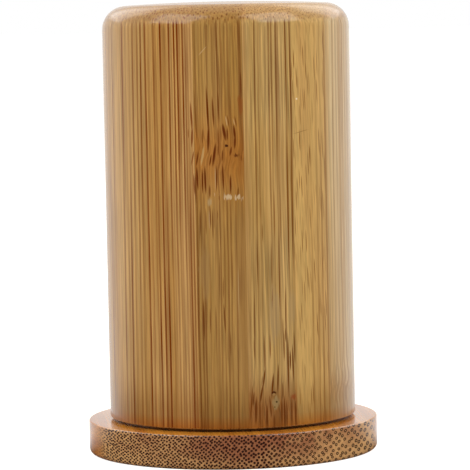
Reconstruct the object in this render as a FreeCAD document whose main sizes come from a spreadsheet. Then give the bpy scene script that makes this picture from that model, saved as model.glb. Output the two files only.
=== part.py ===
import FreeCAD, Part

import math
import os

import Sketcher

# Bamboo toothpick dispenser: a round foot disc, a cup that holds the toothpicks, and a tall cover.
# The cup is glued into a recess in the foot disc. The cover drops over the cup, hides the
# toothpicks, rests on the foot disc and lifts straight off. Its seat is a ring round its mouth,
# and outside that ring its foot is relieved, which leaves a thin dark line above the foot disc.
# The cover is turned and bored from a block of two boards glued face to face, each of upright
# bamboo laths glued side by side, so each lath is a piece of its own, cut from one turned blank.
# Frame: +Z up along the turning axis, origin at the centre of the underside, front towards -Y.
# Lengths are in millimetres.

# Driving sizes: name, value, meaning.
SIZES = (
    ("base_diameter", 55.0, "outside of the foot disc"),
    ("base_thickness", 6.4, "thickness of the foot disc"),
    ("base_foot_round", 1.0, "rounding of the foot disc's lower edge"),
    ("base_top_round", 0.3, "rounding of the foot disc's upper edge"),
    ("recess_depth", 2.6, "depth of the recess that the cup is glued into"),
    ("glue_gap", 0.05, "glue film round the cup's foot, on the radius"),
    ("cup_height", 42.0, "height of the cup from foot to rim"),
    ("cup_wall", 3.0, "wall of the cup"),
    ("cup_floor", 3.0, "floor of the cup"),
    ("cup_rim_round", 1.0, "rounding of both edges of the cup's rim"),
    ("cup_floor_round", 1.0, "round left by the cutter in the corner of the cup's floor"),
    ("cup_foot_chamfer", 0.4, "chamfer that starts the cup's foot in the recess"),
    ("slip_clearance", 0.4, "play of the cover on the cup, on the radius"),
    ("cover_diameter", 46.8, "outside of the cover"),
    ("cover_height", 79.0, "height of the cover"),
    ("cover_wall", 4.0, "wall of the cover"),
    ("cover_top_thickness", 9.0, "solid bamboo above the end of the cover's bore"),
    ("cover_top_crown", 0.8, "how far the middle of the cover's top stands above its edge"),
    ("cover_top_round", 4.2, "rounding of the cover's top edge"),
    ("cover_relief_height", 0.5, "height of the relief under the cover's outside edge"),
    ("cover_seat_width", 2.0, "width of the seat ring between the bore and the relief"),
    ("cover_lip_round", 0.3, "rounding of the cover's lower outside edge, above the relief"),
    ("cover_mouth_chamfer", 0.8, "chamfer that leads the bore over the cup"),
    ("cover_bore_round", 1.5, "round left by the cutter at the end of the bore"),
    ("cut_overrun", 1.0, "how far a sawing block stands out of the blank that it cuts"),
)

# Glue seams of the cover, as shares of its radius from the axis: the seam between the two boards
# along Y, and the seams between each board's laths along X, from -X to +X.
BOARD_SEAM_SHARES = (0.064,)
FRONT_SEAM_SHARES = (-0.645, -0.261, 0.124, 0.508, 0.778)
BACK_SEAM_SHARES = (-0.752, -0.402, -0.026, 0.342, 0.701)

# Places worked out from the driving sizes, as spreadsheet expressions.
BASE_RADIUS = "Sizes.base_diameter / 2"
BASE_TOP = "Sizes.base_thickness"
RECESS_FLOOR = "Sizes.base_thickness - Sizes.recess_depth"
COVER_RADIUS = "Sizes.cover_diameter / 2"
BORE_RADIUS = "Sizes.cover_diameter / 2 - Sizes.cover_wall"
SEAT_RADIUS = f"{BORE_RADIUS} + Sizes.cover_seat_width"
RELIEF_TOP = "Sizes.base_thickness + Sizes.cover_relief_height"
COVER_TOP = "Sizes.base_thickness + Sizes.cover_height"
COVER_TOP_EDGE = f"{COVER_TOP} - Sizes.cover_top_crown"
BORE_END = f"{COVER_TOP} - Sizes.cover_top_thickness"
CUP_RADIUS = f"{BORE_RADIUS} - Sizes.slip_clearance"
CUP_BORE_RADIUS = f"{CUP_RADIUS} - Sizes.cup_wall"
RECESS_RADIUS = f"{CUP_RADIUS} + Sizes.glue_gap"
CUP_FLOOR_TOP = f"{RECESS_FLOOR} + Sizes.cup_floor"
CUP_RIM = f"{RECESS_FLOOR} + Sizes.cup_height"
ON_AXIS = "0"

# How far the sawing blocks reach round the blank.
LEFT_SIDE = f"0 - {COVER_RADIUS} - Sizes.cut_overrun"
RIGHT_SIDE = f"{COVER_RADIUS} + Sizes.cut_overrun"
FRONT_SIDE = f"0 - {COVER_RADIUS} - Sizes.cut_overrun"
BACK_SIDE = f"{COVER_RADIUS} + Sizes.cut_overrun"


def places_across(shares):
    """Places from the axis, each a share of the cover's radius, as spreadsheet expressions."""
    return tuple(f"{share} * {COVER_RADIUS}" for share in shares)


# The two boards: name, near side along Y, far side along Y, glue seams along X.
(BOARD_SEAM,) = places_across(BOARD_SEAM_SHARES)
BOARDS = (
    ("front", FRONT_SIDE, BOARD_SEAM, places_across(FRONT_SEAM_SHARES)),
    ("back", BOARD_SEAM, BACK_SIDE, places_across(BACK_SEAM_SHARES)),
)

# How near an edge has to be to its worked-out place to be taken for it.
PLACE_TOLERANCE = 1e-4
FULL_TURN_DEGREES = 360.0


def make_sizes_sheet(doc):
    """Puts the driving sizes in a spreadsheet: meaning, value, alias."""
    sheet = doc.addObject("Spreadsheet::Sheet", "Sizes")
    for row, (alias, value, meaning) in enumerate(SIZES, start=1):
        sheet.set(f"A{row}", meaning)
        sheet.set(f"B{row}", str(value))
        sheet.setAlias(f"B{row}", alias)
    doc.recompute()
    return sheet


def value_of(sheet, expression):
    """The number that a spreadsheet expression stands for."""
    return float(sheet.evalExpression(expression))


def origin_plane(body, role):
    """One of the body's own origin planes, such as XZ_Plane."""
    return next(f for f in body.Origin.OriginFeatures if f.Role == role)


def crown_between(edge, middle):
    """The arc from a point beside the Z axis to one on it, with its centre on the axis."""
    drop = middle.y - edge.y
    radius = (edge.x * edge.x + drop * drop) / (2 * drop)
    centre = FreeCAD.Vector(0, middle.y - radius, 0)
    start = math.atan2(edge.y - centre.y, edge.x)
    circle = Part.Circle(centre, FreeCAD.Vector(0, 0, 1), radius)
    return Part.ArcOfCircle(circle, start, math.pi / 2)


def draw_turning_profile(body, sheet, corners, crown_from=None):
    """A closed half profile beside the Z axis, each corner held by its radius and its height.

    Its sides are straight, but for a crown that starts at the corner crown_from, if given.
    """
    sketch = body.newObject("Sketcher::SketchObject", f"{body.Name}Profile")
    sketch.AttachmentSupport = (origin_plane(body, "XZ_Plane"), [""])
    sketch.MapMode = "FlatFace"
    points = [
        FreeCAD.Vector(value_of(sheet, radius), value_of(sheet, height), 0)
        for radius, height in corners
    ]
    count = len(points)
    for index, (corner, point) in enumerate(zip(corners, points)):
        following = points[(index + 1) % count]
        side = crown_between if corner == crown_from else Part.LineSegment
        sketch.addGeometry(side(point, following), False)
    for index, corner in enumerate(corners):
        sketch.addConstraint(Sketcher.Constraint("Coincident", index, 2, (index + 1) % count, 1))
        if corner == crown_from:
            sketch.addConstraint(Sketcher.Constraint("PointOnObject", index, 3, -2))
    for index, (radius, height) in enumerate(corners):
        if radius == ON_AXIS:
            sketch.addConstraint(Sketcher.Constraint("PointOnObject", index, 1, -2))
        else:
            hold_distance(sketch, "DistanceX", index, points[index].x, radius)
        if height == ON_AXIS:
            sketch.addConstraint(Sketcher.Constraint("PointOnObject", index, 1, -1))
        else:
            hold_distance(sketch, "DistanceY", index, points[index].y, height)
    return sketch


def hold_distance(sketch, kind, index, value, expression):
    """Holds the start of line number index at a distance from the origin, bound to the sheet."""
    number = sketch.addConstraint(Sketcher.Constraint(kind, -1, 1, index, 1, value))
    sketch.setExpression(f"Constraints[{number}]", expression)


def turn_body(doc, sheet, name, label, corners, crown_from=None):
    """A turned piece: its half profile revolved about the Z axis."""
    body = doc.addObject("PartDesign::Body", name)
    body.Label = label
    sketch = draw_turning_profile(body, sheet, corners, crown_from)
    turned = body.newObject("PartDesign::Revolution", f"{name}Turned")
    turned.Profile = (sketch, [""])
    turned.ReferenceAxis = (sketch, ["V_Axis"])
    turned.Angle = FULL_TURN_DEGREES
    sketch.Visibility = False
    doc.recompute()
    return body


def edge_names_at(shape, radius, height):
    """Names of the round edges of that radius at that height."""
    names = []
    for number, edge in enumerate(shape.Edges, start=1):
        if edge.Degenerated or not isinstance(edge.Curve, Part.Circle):
            continue
        circle = edge.Curve
        off_radius = abs(circle.Radius - radius)
        off_height = abs(circle.Center.z - height)
        if max(off_radius, off_height) < PLACE_TOLERANCE:
            names.append(f"Edge{number}")
    return names


def ease_edges(doc, sheet, body, kind, name, size, places):
    """Rounds (Fillet) or chamfers (Chamfer) the body's round edges at the given places."""
    shaped = body.Tip
    edges = []
    for radius, height in places:
        edges += edge_names_at(shaped.Shape, value_of(sheet, radius), value_of(sheet, height))
    if len(edges) != len(places):
        raise RuntimeError(f"{name}: found {len(edges)} edges at {len(places)} places")
    eased = body.newObject(f"PartDesign::{kind}", name)
    eased.Base = (shaped, edges)
    eased.setExpression("Radius" if kind == "Fillet" else "Size", size)
    doc.recompute()


def make_base_disc(doc, sheet):
    """The foot disc: wider than the cover, with a shallow recess for the cup's foot."""
    corners = (
        (ON_AXIS, ON_AXIS),
        (BASE_RADIUS, ON_AXIS),
        (BASE_RADIUS, BASE_TOP),
        (RECESS_RADIUS, BASE_TOP),
        (RECESS_RADIUS, RECESS_FLOOR),
        (ON_AXIS, RECESS_FLOOR),
    )
    body = turn_body(doc, sheet, "BaseDisc", "base_disc", corners)
    foot = [(BASE_RADIUS, ON_AXIS)]
    top = [(BASE_RADIUS, BASE_TOP)]
    ease_edges(doc, sheet, body, "Fillet", "BaseFootRound", "Sizes.base_foot_round", foot)
    ease_edges(doc, sheet, body, "Fillet", "BaseTopRound", "Sizes.base_top_round", top)
    return body


def make_inner_cup(doc, sheet):
    """The cup that the toothpicks stand in, open at the top."""
    corners = (
        (ON_AXIS, RECESS_FLOOR),
        (CUP_RADIUS, RECESS_FLOOR),
        (CUP_RADIUS, CUP_RIM),
        (CUP_BORE_RADIUS, CUP_RIM),
        (CUP_BORE_RADIUS, CUP_FLOOR_TOP),
        (ON_AXIS, CUP_FLOOR_TOP),
    )
    body = turn_body(doc, sheet, "InnerCup", "inner_cup", corners)
    rim = [(CUP_RADIUS, CUP_RIM), (CUP_BORE_RADIUS, CUP_RIM)]
    floor = [(CUP_BORE_RADIUS, CUP_FLOOR_TOP)]
    foot = [(CUP_RADIUS, RECESS_FLOOR)]
    ease_edges(doc, sheet, body, "Fillet", "CupRimRound", "Sizes.cup_rim_round", rim)
    ease_edges(doc, sheet, body, "Fillet", "CupFloorRound", "Sizes.cup_floor_round", floor)
    ease_edges(doc, sheet, body, "Chamfer", "CupFootChamfer", "Sizes.cup_foot_chamfer", foot)
    return body


def make_cover_blank(doc, sheet):
    """The whole cover as turned from the glued block: closed at the top, bored from below."""
    top_edge = (COVER_RADIUS, COVER_TOP_EDGE)
    corners = (
        (BORE_RADIUS, BASE_TOP),
        (SEAT_RADIUS, BASE_TOP),
        (SEAT_RADIUS, RELIEF_TOP),
        (COVER_RADIUS, RELIEF_TOP),
        top_edge,
        (ON_AXIS, COVER_TOP),
        (ON_AXIS, BORE_END),
        (BORE_RADIUS, BORE_END),
    )
    body = turn_body(doc, sheet, "CoverBlank", "cover_blank", corners, crown_from=top_edge)
    top = [top_edge]
    lip = [(COVER_RADIUS, RELIEF_TOP)]
    mouth = [(BORE_RADIUS, BASE_TOP)]
    bore = [(BORE_RADIUS, BORE_END)]
    ease_edges(doc, sheet, body, "Fillet", "CoverTopRound", "Sizes.cover_top_round", top)
    ease_edges(doc, sheet, body, "Fillet", "CoverLipRound", "Sizes.cover_lip_round", lip)
    ease_edges(doc, sheet, body, "Chamfer", "CoverMouth", "Sizes.cover_mouth_chamfer", mouth)
    ease_edges(doc, sheet, body, "Fillet", "CoverBoreRound", "Sizes.cover_bore_round", bore)
    return body


def make_sawing_block(doc, name, left, right, near, far):
    """A plain block that holds all of the blank between two seams along X and two along Y."""
    block = doc.addObject("Part::Box", name)
    block.setExpression("Length", f"({right}) - ({left})")
    block.setExpression("Width", f"({far}) - ({near})")
    block.setExpression("Height", "Sizes.cover_height + 2 * Sizes.cut_overrun")
    block.setExpression("Placement.Base.x", left)
    block.setExpression("Placement.Base.y", near)
    block.setExpression("Placement.Base.z", f"{BASE_TOP} - Sizes.cut_overrun")
    return block


def make_board_laths(doc, blank, board):
    """One board's laths, from -X to +X: what each sawing block has in common with the blank."""
    side, near, far, seams = board
    edges = [LEFT_SIDE, *seams, RIGHT_SIDE]
    laths = []
    for number, (left, right) in enumerate(zip(edges, edges[1:]), start=1):
        name = f"{side.capitalize()}Lath{number}"
        lath = doc.addObject("Part::Common", name)
        lath.Base = blank
        lath.Tool = make_sawing_block(doc, f"{name}Saw", left, right, near, far)
        lath.Label = f"cover_{side}_lath_{number}"
        laths.append(lath)
    doc.recompute()
    return laths


def check_document(doc, pieces):
    """Stops on any failed object, on a bad piece, and on laths that don't make up the blank."""
    for item in doc.Objects:
        if {"Invalid", "Error"} & set(item.State):
            raise RuntimeError(f"{item.Label} failed: {item.State}")
    for piece in pieces:
        shape = piece.Shape
        if shape.isNull() or not shape.isValid() or len(shape.Solids) != 1:
            raise RuntimeError(f"{piece.Label} isn't one valid solid")


def check_laths(blank, laths):
    """Stops if the laths together don't have the blank's volume."""
    whole = blank.Shape.Volume
    together = sum(lath.Shape.Volume for lath in laths)
    if not math.isclose(whole, together, rel_tol=PLACE_TOLERANCE):
        raise RuntimeError(f"the laths make {together}, and the blank is {whole}")


def write_steps(pieces):
    """Writes each piece to parts/, in a file named after its label."""
    os.makedirs("parts", exist_ok=True)
    for piece in pieces:
        piece.Shape.exportStep(os.path.join("parts", f"{piece.Label}.step"))
        box = piece.Shape.BoundBox
        print(
            f"{piece.Label}: volume {piece.Shape.Volume:.1f}, "
            f"x {box.XMin:.2f}..{box.XMax:.2f}, z {box.ZMin:.2f}..{box.ZMax:.2f}"
        )


def main():
    """Builds the dispenser and writes its pieces."""
    doc = FreeCAD.newDocument("ToothpickDispenser")
    sheet = make_sizes_sheet(doc)
    base_disc = make_base_disc(doc, sheet)
    inner_cup = make_inner_cup(doc, sheet)
    blank = make_cover_blank(doc, sheet)
    laths = [lath for board in BOARDS for lath in make_board_laths(doc, blank, board)]
    pieces = [base_disc, inner_cup, *laths]
    check_document(doc, pieces)
    check_laths(blank, laths)
    write_steps(pieces)


main()
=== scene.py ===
"""Bamboo toothpick dispenser, dressed for its picture.

A round foot disc carries a cup for toothpicks, and a tall cover drops over the cup. The cover is
turned from a block of upright bamboo laths, glued side by side in two boards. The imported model
gives every piece its place and size. Each piece is turned again here with a finer outline, each
lath is sawn from the turned cover along its glue seams, and all of them are dressed in varnished
bamboo whose fibres, end grain and growth joints are drawn from sizes in millimetres.
"""

from __future__ import annotations

import logging
import math
import random
from dataclasses import dataclass, field, replace
from enum import Enum
from typing import Any

import bmesh
import bpy
from mathutils import Euler, Matrix, Vector

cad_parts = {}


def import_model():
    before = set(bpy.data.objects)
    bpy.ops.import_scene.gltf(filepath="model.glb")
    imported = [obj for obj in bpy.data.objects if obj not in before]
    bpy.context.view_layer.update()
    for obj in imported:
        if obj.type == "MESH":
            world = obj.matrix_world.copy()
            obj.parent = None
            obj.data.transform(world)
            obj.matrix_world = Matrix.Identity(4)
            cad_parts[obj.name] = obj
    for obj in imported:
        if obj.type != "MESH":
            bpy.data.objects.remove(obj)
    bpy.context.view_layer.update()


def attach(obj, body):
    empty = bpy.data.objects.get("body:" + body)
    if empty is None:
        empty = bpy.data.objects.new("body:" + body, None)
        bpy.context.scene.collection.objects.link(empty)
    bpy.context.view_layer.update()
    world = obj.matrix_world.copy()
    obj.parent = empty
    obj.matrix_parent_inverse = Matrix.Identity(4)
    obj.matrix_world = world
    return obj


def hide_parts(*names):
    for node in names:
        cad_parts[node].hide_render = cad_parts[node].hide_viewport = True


LOG = logging.getLogger("dispenser")

Tree = bpy.types.NodeTree
Node = bpy.types.Node
Socket = bpy.types.NodeSocket

MM = 0.001
WHITE = "#ffffff"


def linear(hex_colour: str) -> tuple[float, float, float, float]:
    """Turns an sRGB colour into the linear colour that a shader takes.

    Args:
        hex_colour: The colour as six hex digits after a hash sign.

    Returns:
        Red, green, blue and alpha, linear.
    """
    channels = [int(hex_colour[i : i + 2], 16) / 255 for i in (1, 3, 5)]
    red, green, blue = (
        c / 12.92 if c <= 0.04045 else ((c + 0.055) / 1.055) ** 2.4 for c in channels
    )
    return red, green, blue, 1.0


def add_node(tree: Tree, kind: str, *inputs: Any, **settings: Any) -> Node:
    """Adds a node with its settings, and gives each socket its value or its link.

    Args:
        tree: The node tree that takes the node.
        kind: The node's type, without the words ShaderNode in front.
        *inputs: For the sockets in turn a value, a socket, or a node whose first live output
            is meant. A dict gives these by the sockets' names or numbers.
        **settings: Properties of the node itself.

    Returns:
        The new node.
    """
    node = tree.nodes.new(f"ShaderNode{kind}")
    for name, value in settings.items():
        setattr(node, name, value)
    sockets: dict[int | str, Any] = {}
    for value in inputs:
        sockets |= value if isinstance(value, dict) else {len(sockets): value}
    for key, value in sockets.items():
        if isinstance(value, Node):
            value = next(socket for socket in value.outputs if socket.enabled)
        if isinstance(value, Socket):
            tree.links.new(value, node.inputs[key])
        else:
            node.inputs[key].default_value = value
    return node


class GrainRun(Enum):
    """Which way the fibres of a piece run."""

    UPRIGHT = "upright"
    LYING = "lying"


@dataclass(frozen=True)
class GrainLine:
    """A dark line where the turned face runs along a row of bundles.

    Places and widths are in mm. The darkness of its upper and lower half runs from 0 to 1.
    """

    across: float
    upper: float
    lower: float
    width: float = 0.4


@dataclass(frozen=True)
class Stroke:
    """A short dark fibre: its top end, its foot and its width, in mm, and its darkness."""

    top_across: float
    top_height: float
    foot_across: float
    foot_height: float
    width: float
    strength: float


@dataclass(frozen=True)
class Joint:
    """A growth joint of the culm, where the fibres swerve. Sizes are in mm.

    Attributes:
        height: Where it lies along the fibres.
        reach: How far up and down it reaches.
        bend: How far the fibres swerve sideways.
        swirl: How far they swirl at random.
        stain: How strongly the tissue takes the stain, from 0 to 1.
        colour: Colour of the stained tissue.
        swell: How far the bundles swell and darken round it, from 0 to 1.
        quiet: How far the long lines fade round it, from 0 to 1.
        spread: How many times as far as the swerve the stain reaches.
    """

    height: float
    reach: float
    bend: float
    swirl: float
    stain: float
    colour: str
    swell: float = 0.0
    quiet: float = 0.0
    spread: float = 1.0


@dataclass(frozen=True)
class Mark:
    """A small scar, speck or knot on the outside. Sizes are in mm, the turn in degrees."""

    across: float
    height: float
    size: tuple[float, float]
    turn: float
    colour: str
    strength: float
    ragged: float = 0.0


@dataclass(frozen=True)
class BambooGrain:
    """How one length of bamboo grew and was sawn.

    Attributes:
        ground: Colour of the soft tissue between the bundles.
        band: Colour of the broad warmer bands along the fibres.
        sheath: Colour of the fibre sheaths round the bundles.
        cut: Colour of the tissue where it is cut across.
        cut_deep: Colour that it deepens to.
        core: Colour of the open vessels within a bundle that is cut across.
        density: Bundles per mm at the axis of the object.
        crowding: Change of density per mm, across the piece.
        deepening: Change from cut to cut_deep per mm from the axis, across and through,
            and its value on the axis.
        bundle_radius: Radius of a bundle, as a share of the spacing.
        disorder: How far the bundles stand out of line, from 0 to 1.
        bundle_strength: How dark the sheaths show along the fibres.
        dot_strength: How dark they show where they are cut across.
        run_out: Slope of the fibres against the face, across and through the piece.
        wander: How far the fibres wander in mm.
        evenness: How alike the bundles are, from 0 to 1.
        seed: Where in the endless pattern the piece was cut from.
        flecks: Strength of the fine fibre streaks.
        lines: Dark lines on the outside, placed along X.
        flank_lines: Dark lines on the outside where it faces sideways, placed along Y.
        strokes: Short dark fibres on the outside.
        joints: Growth joints.
        marks: Scars, specks and knots.
        seams: Glue seams along X, in mm.
        depth_seam: Glue seam along Y, in mm.
        run: Which way the fibres run.
        turn: For lying fibres, their angle from the Y axis in degrees.
    """

    ground: str
    band: str
    sheath: str
    cut: str = "#b2884d"
    cut_deep: str = "#a2753a"
    core: str = "#ecd3a6"
    density: float = 1.7
    crowding: float = 0.0
    deepening: tuple[float, float, float] = (0.0, 0.0, 0.0)
    bundle_radius: float = 0.26
    disorder: float = 0.75
    bundle_strength: float = 0.6
    dot_strength: float = 0.95
    run_out: tuple[float, float] = (0.0, 0.0)
    wander: float = 0.5
    evenness: float = 0.2
    seed: float = 0.0
    flecks: float = 0.35
    lines: tuple[GrainLine, ...] = ()
    flank_lines: tuple[GrainLine, ...] = ()
    strokes: tuple[Stroke, ...] = ()
    joints: tuple[Joint, ...] = ()
    marks: tuple[Mark, ...] = ()
    seams: tuple[float, ...] = ()
    depth_seam: float | None = None
    run: GrainRun = GrainRun.UPRIGHT
    turn: float = 0.0


@dataclass
class BambooPattern:
    """The pattern of one length of bamboo, laid out as shader nodes.

    Attributes:
        tree: The material's node tree.
        grain: How the bamboo grew and was sawn.
        place: The place in mm, as across, through and along the fibres.
        end: How far the surface faces along the fibres, from 0 to 1.
        height: The place along the fibres in mm.
        straight: The place as if all fibres were straight.
    """

    tree: Tree
    grain: BambooGrain
    place: Node = field(init=False)
    end: Node = field(init=False)
    height: Socket = field(init=False)
    straight: Node = field(init=False)

    # Painted shade at the foot of an upright piece, where the disc's ledge keeps light off: heights
    # in mm where it starts and where it is full, its tint and how it sets in. It darkens the lowest
    # 17 mm, and below 9.4 mm a warm painted bounce light from the orange ledge is laid over it.
    PAINTED_FOOT_SHADE = ((17.0, 9.0, "#e1dacb", "SMOOTHSTEP"), (9.4, 7.4, "#ffdca8", "LINEAR"))
    # Between these heights in mm a line changes from its lower to its upper darkness.
    LINES_CHANGE = (20.0, 72.0)
    # The dark lines lie in the skin of the turned cover, between these radii in mm.
    SKIN = (21.6, 22.8)
    # Marks lie on the front, this far along Y in mm, and reach this deep to either side.
    MARK_PLACE, MARK_DEPTH = -22.0, 8.0
    # A stroke runs right through the lath, this far to either side in mm.
    STROKE_DEPTH = 1000.0
    # Radius of the open vessels, as a share of the bundle's.
    CORE_SHARE = 0.24
    # Half the width of a bundle's soft edge, in spacings.
    SOFT_EDGE = 0.05
    # How much a bundle's radius grows at a swollen joint, and how much it shrinks where the
    # bundles stand apart, so that it stays as large in mm. Both are in spacings.
    SWELLING, STEADYING = 0.1, 0.06
    # Vessels open up while the density falls from the first to the second, in bundles per mm.
    OPENING = (1.5, 1.15)

    def __post_init__(self) -> None:
        """Reads the place and the run of the fibres."""
        self.place, self.end = self._place()
        self.height = self._add("SeparateXYZ", self.place).outputs["Z"]
        self.straight = self._straighten()

    def draw(self) -> tuple[Node, Node]:
        """Draws the whole pattern.

        Returns:
            The colour and the relief.
        """
        bundles, core = self._bundles()
        # Fibre strands of about 0.3 mm across, drawn about 15 mm long.
        fibres = self._noise(self.straight, (3.2, 3.2, 0.07), 2, 2.0, roughness=0.6)
        lines = self._lines(bundles)
        dark = self._seams(self._strokes(lines))
        colour = self._marks(self._colour(fibres, dark, core))
        relief = self._add("Math", fibres, lines, operation="SUBTRACT")
        return colour, relief

    def _add(self, kind: str, *inputs: Any, **settings: Any) -> Node:
        """Adds a node to the material's own tree."""
        return add_node(self.tree, kind, *inputs, **settings)

    def _noise(
        self,
        place: Node,
        per_mm: tuple[float, float, float],
        part: int,
        detail: float,
        roughness: float = 0.5,
    ) -> Node:
        """Draws an uneven pattern, stretched along the fibres.

        Args:
            place: The place in mm, as it is or as if all fibres were straight.
            per_mm: Changes per mm, across, through and along the fibres.
            part: Which part of the grain this is, so that no two look alike.
            detail: How many finer patterns lie over it.
            roughness: How strong the finer ones are.

        Returns:
            The pattern, 0.5 on average.
        """
        stretched = self._add("VectorMath", place, per_mm, operation="MULTIPLY")
        cut = {"Vector": stretched, "W": self.grain.seed + part, "Scale": 1.0}
        looks = {"Detail": detail, "Roughness": roughness}
        return self._add("TexNoise", cut | looks, noise_dimensions="4D")

    def _sideways(self, noise: Node, reach: float) -> Node:
        """Makes an uneven pattern a shift across the fibres.

        Args:
            noise: The pattern.
            reach: The length that its full range is worth, in mm.

        Returns:
            The shift in mm.
        """
        colour, middle = noise.outputs["Color"], (0.5, 0.5, 0.5)
        centred = self._add("VectorMath", colour, middle, operation="SUBTRACT")
        return self._add("VectorMath", centred, (reach, reach, 0), operation="MULTIPLY")

    def _place(self) -> tuple[Node, Node]:
        """Reads the place in mm, as across, through and along the fibres, and the end grain.

        Returns:
            The place, and how far the surface faces along the fibres.
        """
        coords = self._add("TexCoord")
        rotation = Matrix.Identity(3)
        if self.grain.run is GrainRun.LYING:
            upright = Matrix.Rotation(math.radians(90), 3, "X")
            rotation = upright @ Matrix.Rotation(math.radians(self.grain.turn), 3, "Z")
        turned = {"Vector": coords.outputs["Object"], "Rotation": rotation.to_euler("XYZ")}
        place = self._add("Mapping", turned | {"Scale": (1 / MM, 1 / MM, 1 / MM)})
        fibre_axis = rotation.transposed() @ Vector((0, 0, 1))
        normal = coords.outputs["Normal"]
        facing = self._add("VectorMath", normal, fibre_axis, operation="DOT_PRODUCT")
        square = self._add("Math", facing, facing, operation="MULTIPLY")
        cut_across = {"Value": square, "From Min": 0.03, "From Max": 0.2}
        return place, self._add("MapRange", cut_across, interpolation_type="SMOOTHSTEP")

    def _straighten(self) -> Node:
        """Bends the pattern's own straight fibres the way that the real ones run.

        Returns:
            The place as if all fibres were straight.
        """
        slope = (*self.grain.run_out, 0)
        shift = self._add("VectorMath", self.height, slope, operation="MULTIPLY")
        sloped = self._add("VectorMath", shift, self.place, operation="ADD")
        # Fibres wander sideways over about 10 mm across and 60 mm along.
        wander = self._noise(self.place, (0.1, 0.1, 0.017), 0, 1.0)
        wander = self._sideways(wander, 2 * self.grain.wander)
        bent = self._add("VectorMath", wander, sloped, operation="ADD")
        for joint in self.grain.joints:
            bent = self._bend_at_joint(bent, joint)
        return bent

    def _near_joint(self, joint: Joint) -> tuple[Node, Node]:
        """Says how near a joint the place is.

        Args:
            joint: The growth joint.

        Returns:
            The distance in reaches, signed, and the nearness, 1 at the joint.
        """
        span = {"From Min": joint.height - joint.reach, "From Max": joint.height}
        reaches = {"Value": self.height, "To Min": -1.0, "To Max": 0.0}
        offset = self._add("MapRange", span | reaches, clamp=False)
        square = self._add("Math", offset, offset, operation="MULTIPLY")
        minus = self._add("Math", square, -1.0, operation="MULTIPLY")
        return offset, self._add("Math", minus, operation="EXPONENT")

    def _round_joint(self, joint: Joint, most: float) -> Node:
        """Raises a value round a growth joint, two or three reaches to each side.

        Args:
            joint: The growth joint.
            most: The value at the joint.

        Returns:
            The value, 0 far away.
        """
        _, near = self._near_joint(joint)
        # The sixth root of the nearness reaches two and a half times as far.
        wide = self._add("Math", near, 1 / 6, operation="POWER")
        raised = {"Value": wide, "From Min": 0.15, "From Max": 0.65, "To Max": most}
        return self._add("MapRange", raised, interpolation_type="SMOOTHSTEP")

    def _bend_at_joint(self, bent: Node, joint: Joint) -> Node:
        """Adds the swerve and the swirl of one growth joint.

        Args:
            bent: The place with the fibres bent so far.
            joint: The growth joint.

        Returns:
            The place with this joint's bend too.
        """
        offset, near = self._near_joint(joint)
        swerve = self._add("Math", offset, near, operation="MULTIPLY")
        # t times exp(-t squared) peaks at 0.43, so this brings the swerve to the bend's size.
        bend = (-joint.bend / 0.43, 0, 0)
        bent = self._add("VectorMath", swerve, bend, bent, operation="MULTIPLY_ADD")
        # Swirls of about 2 mm across and 4 mm along.
        eddies = self._noise(self.place, (0.5, 0.5, 0.26), 5, 1.5)
        swirl = self._sideways(eddies, 3 * joint.swirl)
        return self._add("VectorMath", swirl, near, bent, operation="MULTIPLY_ADD")

    def _crowd(self) -> tuple[Node, Node]:
        """Scales the section of the culm to bundle spacings, closer on one side.

        Returns:
            The place in bundle spacings, with the rows of bundles staggered, and how far
            the vessels open where the bundles stand apart.
        """
        grain, straight = self.grain, self.straight
        gain = self._add("VectorMath", straight, (grain.crowding, 0, 0), operation="DOT_PRODUCT")
        density = self._add("Math", gain, grain.density, operation="ADD")
        crowded = self._add("VectorMath", straight, density, operation="MULTIPLY")
        square = self._add("VectorMath", straight, straight, operation="MULTIPLY")
        half = (-grain.crowding / 2, 0, 0)
        plane = self._add("VectorMath", square, half, crowded, operation="MULTIPLY_ADD")
        # Each seed cuts its piece from another place, many bundles away.
        moved = {"Vector": plane, "Location": (grain.seed * 17.3, grain.seed * 9.1, 0)}
        stagger = Euler((0, 0, math.radians(45)))
        section = self._add("Mapping", moved | {"Rotation": stagger})
        closed, open_wide = self.OPENING
        apart = {"Value": density, "From Min": closed, "From Max": open_wide}
        return section, self._add("MapRange", apart)

    def _within(self, distance: Node, radius: float) -> Node:
        """Fills a round spot round the middle of each bundle, with a soft edge.

        Args:
            distance: The distance from the bundle's middle, in spacings.
            radius: The spot's radius, in spacings.

        Returns:
            1 within the spot and 0 outside.
        """
        outer, inner = radius + self.SOFT_EDGE, radius - self.SOFT_EDGE
        edge = {"Value": distance, "From Min": outer, "From Max": inner}
        return self._add("MapRange", edge, interpolation_type="SMOOTHSTEP")

    def _bundles(self) -> tuple[Node, Node]:
        """Draws the bundles: dark sheaths that run on along the fibres, pale inside at a cut.

        Returns:
            How dark the sheaths are, and how pale the cores are.
        """
        grain = self.grain
        section, opening = self._crowd()
        spots = {"Vector": section, "Scale": 1.0, "Randomness": grain.disorder}
        cells = self._add("TexVoronoi", spots, voronoi_dimensions="2D")
        distance, swelling = cells, None
        for joint in grain.joints:
            if joint.swell:
                swelling = self._round_joint(joint, joint.swell)
                grown = (swelling, -self.SWELLING, distance)
                distance = self._add("Math", *grown, operation="MULTIPLY_ADD")
        kept = (opening, self.STEADYING, distance)
        distance = self._add("Math", *kept, operation="MULTIPLY_ADD")
        sheath = self._within(distance, grain.bundle_radius)
        middle = self._within(cells, self.CORE_SHARE * grain.bundle_radius)
        cut = self._add("Math", middle, self.end, operation="MULTIPLY")
        core = self._add("Math", cut, opening, operation="MULTIPLY")
        dark = self._add("Math", sheath, core, operation="SUBTRACT")
        own = {"Value": cells.outputs["Color"], "To Min": grain.evenness}
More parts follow.
